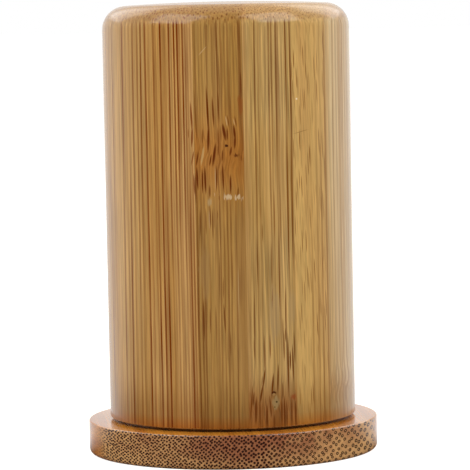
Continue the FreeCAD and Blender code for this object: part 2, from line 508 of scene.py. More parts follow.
        # Sheaths darken and fade over about 20 mm of their length.
        fading = self._noise(self.straight, (0.9, 0.9, 0.05), 9, 2.0)
        faded = {"Value": fading, "From Min": 0.4, "From Max": 0.58, "To Min": grain.evenness}
        fade = self._add("MapRange", faded, interpolation_type="SMOOTHSTEP")
        fade = self._add("Math", fade, self.end, operation="MAXIMUM")
        if swelling is not None:
            fade = self._add("Math", fade, swelling, operation="MAXIMUM")
        shown = {"To Min": grain.bundle_strength, "To Max": grain.dot_strength}
        strength = self._add("MapRange", {"Value": self.end} | shown)
        for factor in (self._add("MapRange", own), fade, strength):
            dark = self._add("Math", dark, factor, operation="MULTIPLY")
        return dark, core

    def _strokes(self, dark: Node) -> Node:
        """Breaks the long lines up into short strokes round a growth joint.

        Args:
            dark: How dark bundles and lines are.

        Returns:
            How dark bundles, lines and strokes are.
        """
        for joint in self.grain.joints:
            if joint.quiet:
                hush = self._round_joint(joint, joint.quiet)
                side = self._add("Math", 1.0, self.end, operation="SUBTRACT")
                hushed = self._add("Math", hush, side, operation="MULTIPLY")
                kept = self._add("Math", 1.0, hushed, operation="SUBTRACT")
                dark = self._add("Math", dark, kept, operation="MULTIPLY")
        # The strokes are gathered among themselves, and none is clamped: otherwise the
        # renderer keeps them all at once, and its stack is too short for that.
        drawn = None
        for stroke in self.grain.strokes:
            rise = stroke.top_height - stroke.foot_height
            drift = stroke.top_across - stroke.foot_across
            middle = (stroke.top_across - drift / 2, 0, stroke.top_height - rise / 2)
            lying = {"Vector": self.place, "Location": middle}
            lean = Euler((0, math.atan2(drift, rise), 0))
            half_size = (stroke.width / 2, self.STROKE_DEPTH, rise / 2)
            shape = lying | {"Rotation": lean, "Scale": half_size}
            local = self._add("Mapping", shape, vector_type="TEXTURE")
            square = self._add("VectorMath", local, local, operation="DOT_PRODUCT")
            fourth = self._add("Math", square, square, operation="MULTIPLY")
            most = stroke.strength
            shown = self._add("Math", fourth, -most, most, operation="MULTIPLY_ADD")
            if drawn is not None:
                shown = self._add("Math", drawn, shown, operation="MAXIMUM")
            drawn = shown
        if drawn is None:
            return dark
        return self._add("Math", dark, drawn, operation="MAXIMUM")

    def _line_curve(self, across: Socket, change: Node, lines: tuple[GrainLine, ...]) -> Node:
        """Lays dark lines out along two curves, one for the lower and one for the upper half.

        Args:
            across: The place across the lines in mm.
            change: 0 in the lower half and 1 in the upper.
            lines: The lines.

        Returns:
            The darkness of the lines.
        """
        low = min(line.across for line in lines) - 1.0
        high = max(line.across for line in lines) + 1.0
        where = self._add("MapRange", {"Value": across, "From Min": low, "From Max": high})
        halves = []
        for upper in (False, True):
            node = self._add("FloatCurve", {"Value": where})
            curve = node.mapping.curves[0]
            curve.points[0].location = (0, 0)
            curve.points[1].location = (1, 0)
            for line in lines:
                middle = (line.across - low) / (high - low)
                width = line.width / (high - low)
                depth = line.upper if upper else line.lower
                for share, height in ((-0.5, 0), (-0.22, depth), (0.22, depth), (0.5, 0)):
                    point = curve.points.new(middle + share * width, height)
                    point.handle_type = "AUTO_CLAMPED"
            node.mapping.update()
            halves.append(node)
        return self._add("Mix", {0: change, 2: halves[0], 3: halves[1]}, data_type="FLOAT")

    def _lines(self, dark: Node) -> Node:
        """Draws the dark lines of the outside.

        Args:
            dark: How dark the bundles are.

        Returns:
            How dark bundles and lines are.
        """
        grain = self.grain
        if not grain.lines:
            return dark
        across = self._add("SeparateXYZ", self.straight).outputs
        low, high = self.LINES_CHANGE
        change = {"Value": self.height, "From Min": low, "From Max": high}
        change = self._add("MapRange", change, interpolation_type="SMOOTHSTEP")
        shown = self._line_curve(across["X"], change, grain.lines)
        if grain.flank_lines:
            flank = self._line_curve(across["Y"], change, grain.flank_lines)
            shown = self._add("Math", shown, flank, operation="MAXIMUM")
        noise = self._noise(self.straight, (1.6, 0.3, 0.06), 3, 2.0)
        uneven = {"Value": noise, "From Min": 0.35, "From Max": 0.6, "To Min": 0.6}
        flat = self._add("VectorMath", self.place, (1, 1, 0), operation="MULTIPLY")
        radius = self._add("VectorMath", flat, operation="LENGTH")
        inner, outer = self.SKIN
        skin = {"Value": radius, "From Min": inner, "From Max": outer}
        side = self._add("Math", 1.0, self.end, operation="SUBTRACT")
        for factor in (self._add("MapRange", uneven), self._add("MapRange", skin), side):
            shown = self._add("Math", shown, factor, operation="MULTIPLY")
        return self._add("Math", shown, dark, operation="MAXIMUM")

    def _seams(self, dark: Node) -> Node:
        """Draws the glue seams along the lath's edges.

        Args:
            dark: How dark bundles, lines and strokes are.

        Returns:
            How dark bundles, lines, strokes and seams are.
        """
        apart = self._add("SeparateXYZ", self.place).outputs
        seams = [(apart["X"], seam) for seam in self.grain.seams]
        if self.grain.depth_seam is not None:
            seams.append((apart["Y"], self.grain.depth_seam))
        for axis, seam in seams:
            # A glue line is about 0.1 mm thick, drawn a little wider so that it shows.
            off = self._add("Math", axis, seam, operation="SUBTRACT")
            gap = self._add("Math", off, operation="ABSOLUTE")
            line = {"Value": gap, "From Min": 0.16, "From Max": 0.02, "To Max": 0.22}
            glue = self._add("MapRange", line, interpolation_type="SMOOTHSTEP")
            dark = self._add("Math", glue, dark, operation="MAXIMUM")
        return dark

    def _tissue(self) -> Node:
        """Mixes the colour of the soft tissue, along the fibres and cut across.

        Returns:
            The colour of the tissue.
        """
        grain = self.grain
        # Broad bands of about 3 mm across, much longer than the piece.
        bands = self._noise(self.straight, (0.34, 0.34, 0.012), 4, 2.5)
        parted = {"Value": bands, "From Min": 0.36, "From Max": 0.64}
        banded = self._add("MapRange", parted, interpolation_type="SMOOTHSTEP")
        tones = {0: banded, 6: linear(grain.ground), 7: linear(grain.band)}
        tissue = self._add("Mix", tones, data_type="RGBA")
        # Painted shade: darkens the lowest 17 mm of an upright piece, and warms it just above the
        # ledge as painted bounce light.
        foot_shade = self.PAINTED_FOOT_SHADE if grain.run is GrainRun.UPRIGHT else ()
        for start, full, shade_tint, way in foot_shade:
            span = {"Value": self.height, "From Min": start, "From Max": full}
            shade_share = self._add("MapRange", span, interpolation_type=way)
            shade_mix = {0: shade_share, 6: tissue, 7: linear(shade_tint)}
            tissue = self._add("Mix", shade_mix, data_type="RGBA", blend_type="MULTIPLY")
        for joint in grain.joints:
            _, near = self._near_joint(replace(joint, reach=joint.reach * joint.spread))
            stained = self._add("Math", near, joint.stain, operation="MULTIPLY")
            stain = {0: stained, 6: tissue, 7: linear(joint.colour)}
            tissue = self._add("Mix", stain, data_type="RGBA")
        across, through, start = grain.deepening
        away = self._add("VectorMath", self.place, operation="ABSOLUTE")
        depth = self._add("VectorMath", away, (across, through, 0), operation="DOT_PRODUCT")
        shift = self._add("Math", banded, 0.4, start, operation="MULTIPLY_ADD")
        deep = self._add("Math", depth, shift, operation="ADD", use_clamp=True)
        tones = {0: deep, 6: linear(grain.cut), 7: linear(grain.cut_deep)}
        cut = self._add("Mix", tones, data_type="RGBA")
        return self._add("Mix", {0: self.end, 6: tissue, 7: cut}, data_type="RGBA")

    def _colour(self, fibres: Node, dark: Node, core: Node) -> Node:
        """Lays fibres, sheaths and cores over the tissue.

        Args:
            fibres: The fine streaks.
            dark: How dark bundles, lines, strokes and seams are.
            core: How pale the cores of the bundles are.

        Returns:
            The colour.
        """
        grain = self.grain
        spread = {"To Min": 1 - grain.flecks, "To Max": 1 + grain.flecks}
        value = {"Value": fibres, "From Min": 0.25, "From Max": 0.75}
        light = self._add("MapRange", value | spread)
        colour = self._add("VectorMath", self._tissue(), light, operation="MULTIPLY")
        for share, tone in ((dark, grain.sheath), (core, grain.core)):
            colour = self._add("Mix", {0: share, 6: colour, 7: linear(tone)}, data_type="RGBA")
        return colour

    def _marks(self, colour: Node) -> Node:
        """Paints scars, specks and knots over the colour.

        Args:
            colour: The colour so far.

        Returns:
            The colour with the marks.
        """
        for mark in self.grain.marks:
            width, height = mark.size
            where = (mark.across, self.MARK_PLACE, mark.height)
            turn = Euler((0, math.radians(mark.turn), 0))
            lying = {"Vector": self.place, "Location": where, "Rotation": turn}
            half_size = (width / 2, self.MARK_DEPTH, height / 2)
            local = self._add("Mapping", lying | {"Scale": half_size}, vector_type="TEXTURE")
            distance = self._add("VectorMath", local, operation="LENGTH")
            # Torn fibres of about 0.3 mm across and 2 mm along.
            torn = self._add("VectorMath", self.place, (3.2, 3.2, 0.5), operation="MULTIPLY")
            noise = self._add("TexNoise", {"Vector": torn, "Scale": 1.0, "Detail": 1.0})
            edge = self._add("Math", noise, 4 * mark.ragged, distance, operation="MULTIPLY_ADD")
            # The noise moves a ragged edge outwards on average, so the limits move with it.
            out = 1.9 * mark.ragged
            filled = {"Value": edge, "From Min": 1.0 + out, "From Max": 0.6 + out}
            inside = self._add("MapRange", filled | {"To Max": mark.strength})
            painted = {0: inside, 6: colour, 7: linear(mark.colour)}
            colour = self._add("Mix", painted, data_type="RGBA")
        return colour


@dataclass(frozen=True)
class VarnishedBamboo:
    """Bamboo, turned, sanded fine and clear varnished.

    The eye gets long straight fibres along the grain, ringed dots where bundles are cut across,
    a tone that changes from lath to lath, and a soft satin coat over all of it. The height of
    the relief is in mm.
    """

    name: str
    grain: BambooGrain
    roughness: float = 0.18
    ior: float = 1.5
    bump_height: float = 0.012

    def make(self) -> bpy.types.Material:
        """Builds the material: the pattern, with the varnish over it.

        Returns:
            The new material.
        """
        material = bpy.data.materials.new(self.name)
        material.use_nodes = True
        tree = material.node_tree
        tree.nodes.clear()
        colour, relief = BambooPattern(tree, self.grain).draw()
        rise = {"Height": relief, "Strength": 0.5, "Distance": self.bump_height * MM}
        bump = add_node(tree, "Bump", rise)
        coat = {"Roughness": self.roughness, "IOR": self.ior, "Normal": bump}
        shader = add_node(tree, "BsdfPrincipled", {"Base Color": colour} | coat)
        add_node(tree, "OutputMaterial", {"Surface": shader})
        return material


def each(kind: type, *rows: tuple[Any, ...]) -> tuple[Any, ...]:
    """Makes one of a kind from each row of its values."""
    return tuple(kind(*row) for row in rows)


def spread_lines(start: float, end: float, seed: int) -> tuple[GrainLine, ...]:
    """Spreads long dark lines over a span, as unevenly as the bundles lie.

    Args:
        start: Where the span starts, in mm.
        end: Where it ends, in mm.
        seed: Which spread it is.

    Returns:
        The lines.
    """
    # A line shows every 0.44 to 1.2 mm and is 0.3 to 0.42 mm wide.
    chance = random.Random(seed)
    depths = (0.2, 0.35, 0.5, 0.75, 1.0)
    lines = []
    across = start + chance.uniform(0.2, 0.6)
    while across < end - 0.2:
        upper, lower = chance.choice(depths), chance.choice(depths)
        lines.append(GrainLine(across, upper, lower, chance.uniform(0.3, 0.42)))
        across += chance.uniform(0.44, 1.2)
    return tuple(lines)


# The front board's laths from -X, with what the picture shows of each. Its lines, strokes and
# marks were placed one by one, in mm.
FRONT_LATHS = (
    # An even straight lath with long fine lines.
    BambooGrain(
        ground="#cca466", band="#bf9456", sheath="#7a3e00", density=1.9,
        bundle_strength=0.4, run_out=(-0.004, 0.0), wander=0.2, seed=1.3, flecks=0.3,
        lines=each(
            GrainLine,
            (-21.4, 0.18, 0.24, 0.6), (-20.4, 0.24, 0.24), (-19.6, 0.84, 0.84),
            (-18.85, 0.18, 0.48), (-18.3, 0.42, 1.0), (-17.6, 0.84, 0.3),
            (-16.75, 0.72, 0.78), (-16.1, 0.96, 0.36),
        ),
    ),
    # A lath with dense long rust lines, reddest at its right.
    BambooGrain(
        ground="#d0a668", band="#c19350", sheath="#783200", cut="#ae8348",
        cut_deep="#9d7036", density=2.0, bundle_strength=0.4, wander=0.2, seed=2.6,
        flecks=0.3,
        lines=each(
            GrainLine,
            (-14.9, 1.0, 1.0), (-14.2, 0.34, 0.52), (-13.4, 0.69, 0.4), (-12.95, 0.34, 1.0),
            (-12.1, 1.0, 1.0), (-11.7, 0.29, 0.34), (-11.3, 0.34, 1.0), (-10.45, 1.0, 0.46),
            (-10.0, 0.34, 0.34), (-9.5, 1.0, 0.57), (-8.9, 1.0, 0.4), (-8.5, 0.57, 0.46),
            (-7.9, 1.0, 0.57), (-7.4, 0.69, 0.46), (-7.0, 0.57, 1.0), (-6.5, 0.46, 0.69),
        ),
        strokes=each(
            Stroke,
            (-6.7, 67.6, -6.4, 61.0, 0.45, 0.9), (-6.4, 63.0, -6.6, 58.4, 0.45, 0.9),
            (-6.2, 58.3, -6.75, 55.3, 0.32, 0.85), (-6.35, 54.2, -6.2, 49.8, 0.32, 0.85),
            (-7.15, 62.4, -7.15, 60.2, 0.26, 0.7),
        ),
    ),
    # A deep tan lath with a large growth joint and a pale scar under it.
    BambooGrain(
        ground="#b68e4e", band="#a87f3e", sheath="#682c00", cut="#a97f44",
        cut_deep="#986c32", density=1.6, bundle_radius=0.22, run_out=(0.002, 0.028),
        seed=4.1, flecks=0.3,
        lines=each(
            GrainLine,
            (-5.8, 0.6, 0.72), (-5.1, 0.18, 0.72), (-4.6, 0.18, 0.6), (-3.7, 0.6, 0.24),
            (-2.6, 0.42, 0.18), (-2.2, 0.42, 0.36), (-1.7, 0.84, 0.48), (-1.0, 0.48, 0.36),
            (-0.3, 0.36, 0.66), (0.3, 0.48, 0.36), (1.3, 0.24, 0.66), (2.45, 0.72, 0.24, 0.8),
        ),
        joints=(Joint(57.0, 3.4, 0.35, 0.5, 0.5, "#b2640a", 0.0, 0.4, 2.1),),
        strokes=each(
            Stroke,
            (-6.0, 70.0, -5.55, 58.2, 0.34, 0.67), (-4.5, 62.4, -4.6, 59.2, 0.39, 0.62),
            (-3.75, 70.6, -3.42, 60.3, 0.47, 1.0), (-3.4, 63.4, -3.65, 57.4, 0.5, 1.0),
            (-2.7, 68.4, -2.45, 62.0, 0.43, 0.9), (-1.7, 70.4, -1.5, 62.6, 0.36, 0.9),
            (-1.75, 62.6, -1.62, 57.8, 0.39, 0.73), (-1.25, 62.8, -1.2, 59.6, 0.31, 0.5),
            (-0.95, 63.3, -0.32, 59.7, 0.67, 1.0), (-0.05, 62.4, -0.05, 59.8, 0.34, 0.9),
            (-0.02, 64.7, 0.32, 62.2, 0.25, 0.78), (1.3, 64.6, 1.68, 62.4, 0.25, 0.78),
            (1.1, 63.0, 1.42, 59.7, 0.5, 1.0), (1.42, 61.2, 1.2, 58.2, 0.5, 0.95),
            (2.55, 73.5, 2.6, 66.5, 0.39, 0.9), (-5.35, 58.3, -5.87, 55.1, 0.36, 0.95),
            (-3.0, 57.6, -3.44, 55.2, 0.36, 0.95), (-2.15, 59.8, -2.88, 55.0, 0.58, 1.0),
            (-1.66, 59.7, -1.82, 57.0, 0.34, 0.78), (-0.9, 58.4, -1.12, 56.0, 0.39, 0.78),
            (0.72, 59.0, 0.33, 57.0, 0.47, 0.9), (2.4, 57.5, 2.4, 56.0, 0.45, 0.62),
            (-6.0, 54.5, -6.02, 48.2, 0.34, 0.9), (-5.8, 55.6, -5.6, 50.7, 0.47, 1.0),
            (-4.75, 55.2, -4.75, 50.1, 0.38, 1.0), (-4.3, 55.6, -4.18, 50.0, 0.45, 1.0),
            (-3.45, 52.0, -3.45, 49.5, 0.39, 0.78), (-2.15, 55.8, -2.2, 50.3, 0.27, 1.0),
            (-1.05, 56.2, -0.9, 50.5, 0.38, 1.0), (0.4, 53.9, 0.35, 49.9, 0.38, 1.0),
            (1.8, 51.5, 1.6, 49.5, 0.38, 0.67), (-1.75, 50.2, -1.75, 48.8, 0.28, 0.67),
            (-6.0, 34.0, -5.95, 20.0, 0.3, 0.8), (-5.3, 47.8, -5.25, 42.3, 0.36, 0.65),
            (-4.25, 47.9, -4.25, 42.6, 0.36, 0.6), (-3.45, 48.3, -3.4, 43.8, 0.28, 0.75),
            (-3.05, 47.9, -3.0, 41.6, 0.3, 0.75), (-2.7, 48.2, -2.7, 43.6, 0.5, 0.35),
            (-2.1, 47.6, -2.1, 45.2, 0.22, 0.7), (-1.65, 44.8, -1.7, 39.6, 0.3, 0.55),
            (-1.95, 40.5, -2.0, 29.6, 0.28, 0.6), (-1.3, 35.2, -1.3, 30.8, 0.3, 0.5),
            (-1.3, 30.4, -1.05, 24.2, 0.36, 0.8), (0.3, 41.5, 0.35, 31.2, 0.4, 0.6),
            (1.3, 43.2, 1.2, 34.6, 0.3, 0.4), (1.75, 37.2, 1.7, 28.6, 0.4, 0.6),
            (2.1, 42.4, 2.0, 27.6, 0.34, 0.6), (-5.0, 31.4, -5.0, 22.6, 0.36, 0.95),
            (-4.55, 33.4, -4.6, 21.6, 0.34, 0.7), (-3.8, 29.8, -3.8, 24.2, 0.28, 0.7),
            (-2.75, 30.2, -2.7, 21.6, 0.32, 0.5), (-0.25, 25.4, -0.2, 20.0, 0.36, 0.65),
        ),
        marks=each(
            Mark,
            (0.5, 49.6, (3.4, 1.0), 2.0, "#dcc6a0", 0.65, 1.3),
            (-0.22, 59.0, (0.75, 0.6), 20.0, "#3a0e04", 0.95, 0.3),
            (1.45, 57.2, (1.0, 0.9), 30.0, "#5a2406", 0.85, 0.6),
            (-4.65, 57.2, (0.5, 4.2), 9.0, "#c8a468", 0.75, 0.15),
            (-2.4, 53.2, (0.2, 4.6), 0.0, "#c6a674", 0.7, 0.1),
            (-0.2, 63.5, (0.25, 2.2), -9.0, "#ccaa74", 0.7, 0.1),
            (1.2, 63.3, (0.2, 1.6), -12.0, "#ccaa74", 0.7, 0.1),
            (2.4, 66.5, (1.0, 4.0), 0.0, "#96511a", 0.55, 0.4),
            (-3.6, 48.7, (1.0, 1.7), 0.0, "#b8a074", 0.6, 0.5),
            (2.2, 30.0, (3.0, 44.0), 0.0, "#a67e48", 0.5),
            (-4.6, 36.0, (2.6, 13.0), 0.0, "#a88655", 0.4, 0.2),
            (-3.65, 45.5, (0.16, 4.0), 0.0, "#c8a880", 0.6, 0.1),
            (1.45, 32.0, (0.2, 12.0), 0.0, "#c0a272", 0.55, 0.1),
            (-4.3, 76.3, (0.2, 2.4), 42.0, "#d6b888", 0.5, 0.1),
        ),
    ),
    # A pale greyish lath with a few strong lines and a growth joint near its foot.
    BambooGrain(
        ground="#c8a66a", band="#bb985a", sheath="#6c3400", cut="#b98f54",
        cut_deep="#a97d41", density=2.0, bundle_radius=0.22, bundle_strength=0.35,
        run_out=(0.0, 0.012), wander=0.3, seed=5.9, flecks=0.42,
        lines=each(
            GrainLine,
            (4.3, 0.1, 0.45), (5.1, 0.8, 0.4), (5.8, 0.45, 0.25), (7.0, 0.1, 0.35),
            (7.8, 0.8, 0.2), (8.3, 0.65, 0.2), (9.1, 0.8, 0.35), (9.5, 0.55, 0.15),
            (10.1, 0.2, 0.4), (10.85, 0.9, 0.2), (11.65, 0.9, 0.2),
        ),
        joints=(Joint(10.5, 3.8, -0.2, 0.3, 0.55, "#8a4200", 0.0, 0.7, 1.2),),
        strokes=each(
            Stroke,
            (5.75, 50.5, 5.75, 44.6, 0.4, 0.5), (6.0, 44.8, 6.0, 41.2, 0.24, 0.6),
            (5.0, 43.4, 5.05, 31.6, 0.3, 0.8), (4.35, 33.4, 4.15, 21.6, 0.3, 0.75),
            (7.6, 41.8, 7.6, 32.6, 0.4, 0.6), (7.65, 33.2, 7.55, 28.2, 0.26, 0.8),
            (8.25, 52.0, 8.25, 40.6, 0.3, 0.75), (8.95, 44.4, 9.0, 25.4, 0.3, 0.85),
            (9.35, 50.0, 9.35, 39.6, 0.26, 0.55), (10.1, 33.4, 10.0, 23.6, 0.3, 0.8),
            (9.5, 27.4, 9.5, 22.6, 0.26, 0.6), (10.8, 64.0, 10.8, 32.2, 0.38, 0.9),
            (11.6, 64.0, 11.6, 33.6, 0.38, 0.85), (4.15, 24.5, 4.15, 19.2, 0.3, 0.75),
            (6.05, 24.5, 6.05, 16.5, 0.32, 0.75), (6.14, 18.4, 5.58, 14.2, 0.38, 0.95),
            (5.68, 15.4, 4.96, 11.4, 0.4, 0.95), (4.98, 12.8, 4.95, 6.4, 0.42, 0.7),
            (5.55, 16.8, 5.35, 14.6, 0.2, 0.65), (7.05, 24.8, 7.05, 19.4, 0.32, 0.8),
            (7.6, 17.2, 7.15, 12.2, 0.42, 0.95), (8.5, 19.0, 8.3, 13.0, 0.34, 0.95),
            (9.6, 25.2, 9.65, 18.8, 0.34, 0.8), (9.95, 25.6, 9.95, 22.4, 0.28, 0.85),
            (10.35, 24.6, 10.3, 11.8, 0.4, 0.95), (10.75, 21.2, 10.75, 17.2, 0.32, 0.95),
            (11.15, 22.4, 11.3, 14.9, 0.34, 0.95), (11.5, 25.0, 11.6, 18.2, 0.32, 0.8),
            (9.2, 15.4, 9.2, 12.0, 0.45, 0.5), (3.75, 15.2, 3.15, 8.0, 0.36, 0.85),
            (4.0, 14.0, 3.7, 11.0, 0.38, 0.8), (4.35, 13.1, 4.15, 7.4, 0.54, 0.9),
            (5.45, 12.0, 5.45, 7.4, 0.4, 0.4), (6.3, 11.6, 6.2, 6.4, 0.46, 0.95),
            (6.75, 13.2, 7.1, 8.6, 0.34, 0.85), (7.6, 9.5, 7.55, 6.4, 0.42, 0.7),
            (9.0, 12.6, 9.0, 6.4, 0.5, 0.8), (9.55, 13.0, 9.5, 6.4, 0.36, 1.0),
            (9.95, 12.2, 9.95, 6.4, 0.34, 0.85), (10.85, 12.7, 10.85, 6.4, 0.38, 0.75),
            (11.5, 11.8, 11.6, 6.4, 0.38, 0.85),
        ),
        marks=each(
            Mark,
            (7.6, 13.4, (1.15, 0.75), 0.0, "#4a1c02", 0.9, 0.1),
            (7.6, 13.1, (0.75, 0.6), 0.0, "#a8824c", 0.95, 0.1),
            (7.95, 11.7, (1.5, 3.0), 0.0, "#a48c5c", 0.8, 0.3),
            (8.08, 11.7, (0.45, 0.4), 0.0, "#3c2a10", 0.9, 0.1),
            (7.7, 10.75, (0.35, 0.35), 0.0, "#6a5020", 0.8, 0.1),
            (8.0, 27.5, (2.6, 12.0), 0.0, "#ac946c", 0.45, 0.2),
            (11.3, 29.0, (1.6, 8.0), 0.0, "#ae9468", 0.4, 0.2),
            (11.2, 12.4, (1.1, 1.3), 0.0, "#963c10", 0.6, 0.5),
            (3.15, 46.0, (1.6, 120.0), 0.0, "#8e5210", 0.3),
            (7.4, 52.5, (15.0, 26.0), 0.0, "#b07a2c", 0.18),
        ),
    ),
    # A warm yellow lath of flat grain, full of short dashes.
    BambooGrain(
        ground="#d0ab68", band="#caa262", sheath="#7c460c", cut="#bb9356", density=2.3,
        bundle_radius=0.2, bundle_strength=1.0, run_out=(0.0, 0.055), wander=0.15, seed=7.4,
        flecks=0.25,
        lines=each(
            GrainLine, (15.2, 0.1, 0.5), (16.3, 0.25, 0.5), (17.1, 0.3, 0.6), (18.0, 0.6, 0.5)
        ),
        marks=each(
            Mark,
            (12.75, 67.2, (0.4, 0.4), 0.0, "#f2e6c8", 0.9, 0.1),
            (13.6, 61.2, (3.8, 0.2), -14.0, "#7c5222", 0.5, 0.1),
        ),
    ),
    # A pale lath with fine lines.
    BambooGrain(
        ground="#d2b888", band="#c3a26c", sheath="#946626", cut="#b99058", density=1.9,
        bundle_strength=0.5, wander=0.25, seed=9.7,
        lines=each(
            GrainLine,
            (19.7, 0.6, 0.6), (20.3, 0.42, 0.42), (21.0, 0.6, 0.54), (21.6, 0.48, 0.6),
        ),
        joints=(Joint(13.0, 2.6, 0.25, 0.25, 0.35, "#9c6828", 0.5),),
    ),
)

# The back board's laths from -X, which the picture doesn't show: from the same stock as those in
# front, so each has its own colours, density, sheaths, run-out, seed and growth joints.
BACK_LATHS = tuple(
    BambooGrain(
        ground, band, sheath, cut, density=density, bundle_strength=strength,
        run_out=run_out, wander=0.3, seed=seed, joints=joints,
    )
    for ground, band, sheath, cut, density, strength, run_out, seed, joints in (
        ("#c8a062", "#b88a4e", "#7e4206", "#b48a50", 1.9, 0.5, (0.0, 0.02), 11.2, ()),
        ("#bd9458", "#aa7c42", "#743600", "#a67c42", 1.6, 0.5, (0.002, 0.006), 12.9, ()),
        ("#c8a268", "#b98e52", "#783c04", "#b38a50", 1.7, 0.4, (0.0, 0.01), 14.3, ()),
        ("#cca66a", "#bb9254", "#7e4408", "#b98f55", 2.0, 0.5, (0.003, 0.03), 15.8,
         (Joint(47.0, 3.0, 0.5, 0.5, 0.35, "#a4682a", 0.8),)),
        ("#c0965a", "#aa7c40", "#703200", "#a87e44", 1.6, 0.45, (0.0, 0.008), 17.1, ()),
        ("#cfae76", "#c09a5e", "#865010", "#bb935a", 1.9, 0.35, (0.0, 0.012), 18.6, ()),
    )
)


@dataclass(frozen=True)
class Corner:
    """A corner of a turned outline: radius, height and rounding, all in mm."""

    radius: float
    height: float
    rounding: float = 0.0


@dataclass(frozen=True)
class TurnedShape:
    """A shape turned on a lathe, from its half outline."""

    corners: tuple[Corner, ...]
    steps: int = 480
    round_segments: int = 10

    def mesh(self) -> bmesh.types.BMesh:
        """Rounds the outline's corners and spins it about the Z axis.

        Returns:
            The closed turned shape, in metres.
        """
        shape = bmesh.new()
        verts = [shape.verts.new((c.radius * MM, 0, c.height * MM)) for c in self.corners]
        for start, end in zip(verts, verts[1:]):
            shape.edges.new((start, end))
        for vert, corner in zip(verts, self.corners):
            if corner.rounding:
                bmesh.ops.bevel(
                    shape,
                    geom=[vert],
                    offset=corner.rounding * MM,
                    segments=self.round_segments,
                    profile=0.5,
                    affect="VERTICES",
                    material=-1,
                )
        bmesh.ops.spin(
            shape,
            geom=shape.verts[:] + shape.edges[:],
            cent=(0, 0, 0),
            axis=(0, 0, 1),
            angle=math.tau,
            steps=self.steps,
            use_merge=True,
        )
        bmesh.ops.remove_doubles(shape, verts=shape.verts, dist=0.002 * MM)
        bmesh.ops.recalc_face_normals(shape, faces=shape.faces)
        return shape


def saw(shape: bmesh.types.BMesh, axis: Vector, place: float) -> None:
    """Saws a shape square to an axis, keeps the side that the axis points away from, and closes it.

    Args:
        shape: The mesh to saw.
        axis: The direction of the side that falls off.
        place: Where the cut lies along that direction, in mm.
    """
    cut = bmesh.ops.bisect_plane(
        shape,
        geom=shape.verts[:] + shape.edges[:] + shape.faces[:],
        plane_co=axis * place * MM,
        plane_no=axis,
        clear_outer=True,
        dist=0.001 * MM,
    )
    rim = [item for item in cut["geom_cut"] if isinstance(item, bmesh.types.BMEdge)]
    bmesh.ops.edgeloop_fill(shape, edges=rim)


def place_piece(
    shape: bmesh.types.BMesh, name: str, finish: VarnishedBamboo, body: str, node: str
) -> None:
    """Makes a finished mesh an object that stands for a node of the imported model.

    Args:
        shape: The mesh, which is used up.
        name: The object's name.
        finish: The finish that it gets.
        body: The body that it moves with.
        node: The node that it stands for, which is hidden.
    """
    bmesh.ops.recalc_face_normals(shape, faces=shape.faces)
    mesh = bpy.data.meshes.new(name)
    shape.to_mesh(mesh)
    shape.free()
    mesh.shade_smooth()
    mesh.set_sharp_from_angle(angle=math.radians(32))
    mesh.materials.append(finish.make())
    piece = bpy.data.objects.new(name, mesh)
    bpy.context.scene.collection.objects.link(piece)
    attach(piece, body)
    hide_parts(node)
    LOG.info("%s: %d faces, rides on %s", name, len(mesh.polygons), body)


@dataclass
class FootDisc:
    """The foot: the disc that the cover stands on and the cup glued into it. Sizes are in mm."""

    disc_radius: float = 27.5
    thickness: float = 6.4
    foot_round: float = 1.0
    top_round: float = 0.3
    recess_radius: float = 19.05
    recess_floor: float = 3.8
    cup_radius: float = 19.0
    cup_bore: float = 16.0
    cup_floor: float = 6.8
    cup_rim: float = 45.8
    cup_rim_round: float = 1.0
    cup_foot_chamfer: float = 0.4

    def build(self) -> None:
        """Builds the disc and the cup."""
        self._build_disc()
        self._build_cup()

    def _build_disc(self) -> None:
        """Turns the disc. Its fibres lie level, so its rim shows end grain in front."""
        shape = TurnedShape(
            (
                Corner(0, 0),
                Corner(self.disc_radius, 0, self.foot_round),
                Corner(self.disc_radius, self.thickness, self.top_round),
                Corner(self.recess_radius, self.thickness),
                Corner(self.recess_radius, self.recess_floor),
                Corner(0, self.recess_floor),
            )
        )
        grain = BambooGrain(
            ground="#ce8830", band="#b66e22", sheath="#341002", cut="#d4a66e",
            cut_deep="#9a6242", core="#dcb078", density=1.6, crowding=-0.031,
            deepening=(-0.038, 0.11, 0.38), bundle_radius=0.37, disorder=0.48,
            bundle_strength=0.08, dot_strength=1.0, wander=0.25, evenness=0.95, seed=3.7,
            flecks=0.25, run=GrainRun.LYING, turn=-6.0,
        )
        finish = VarnishedBamboo("bamboo_end_grain_varnished", grain, 0.12, 1.6, 0.004)
        place_piece(shape.mesh(), "foot_disc", finish, "base", "base_disc")

    def _build_cup(self) -> None:
        """Turns the cup that the toothpicks stand in."""
        chamfer = self.cup_foot_chamfer
        shape = TurnedShape(
            (
                Corner(0, self.recess_floor),
                Corner(self.cup_radius - chamfer, self.recess_floor),
                Corner(self.cup_radius, self.recess_floor + chamfer),
                Corner(self.cup_radius, self.cup_rim, self.cup_rim_round),
                Corner(self.cup_bore, self.cup_rim, self.cup_rim_round),
                Corner(self.cup_bore, self.cup_floor, self.cup_rim_round),
                Corner(0, self.cup_floor),
            )
        )
        grain = BambooGrain(
            ground="#c9a46c", band="#b88a52", sheath="#8a5a2c", density=1.1,
            bundle_strength=0.5, run_out=(0.004, 0.01), seed=8.2,
        )
        finish = VarnishedBamboo("bamboo_cup_varnished", grain, roughness=0.45)
        place_piece(shape.mesh(), "toothpick_cup", finish, "base", "inner_cup")


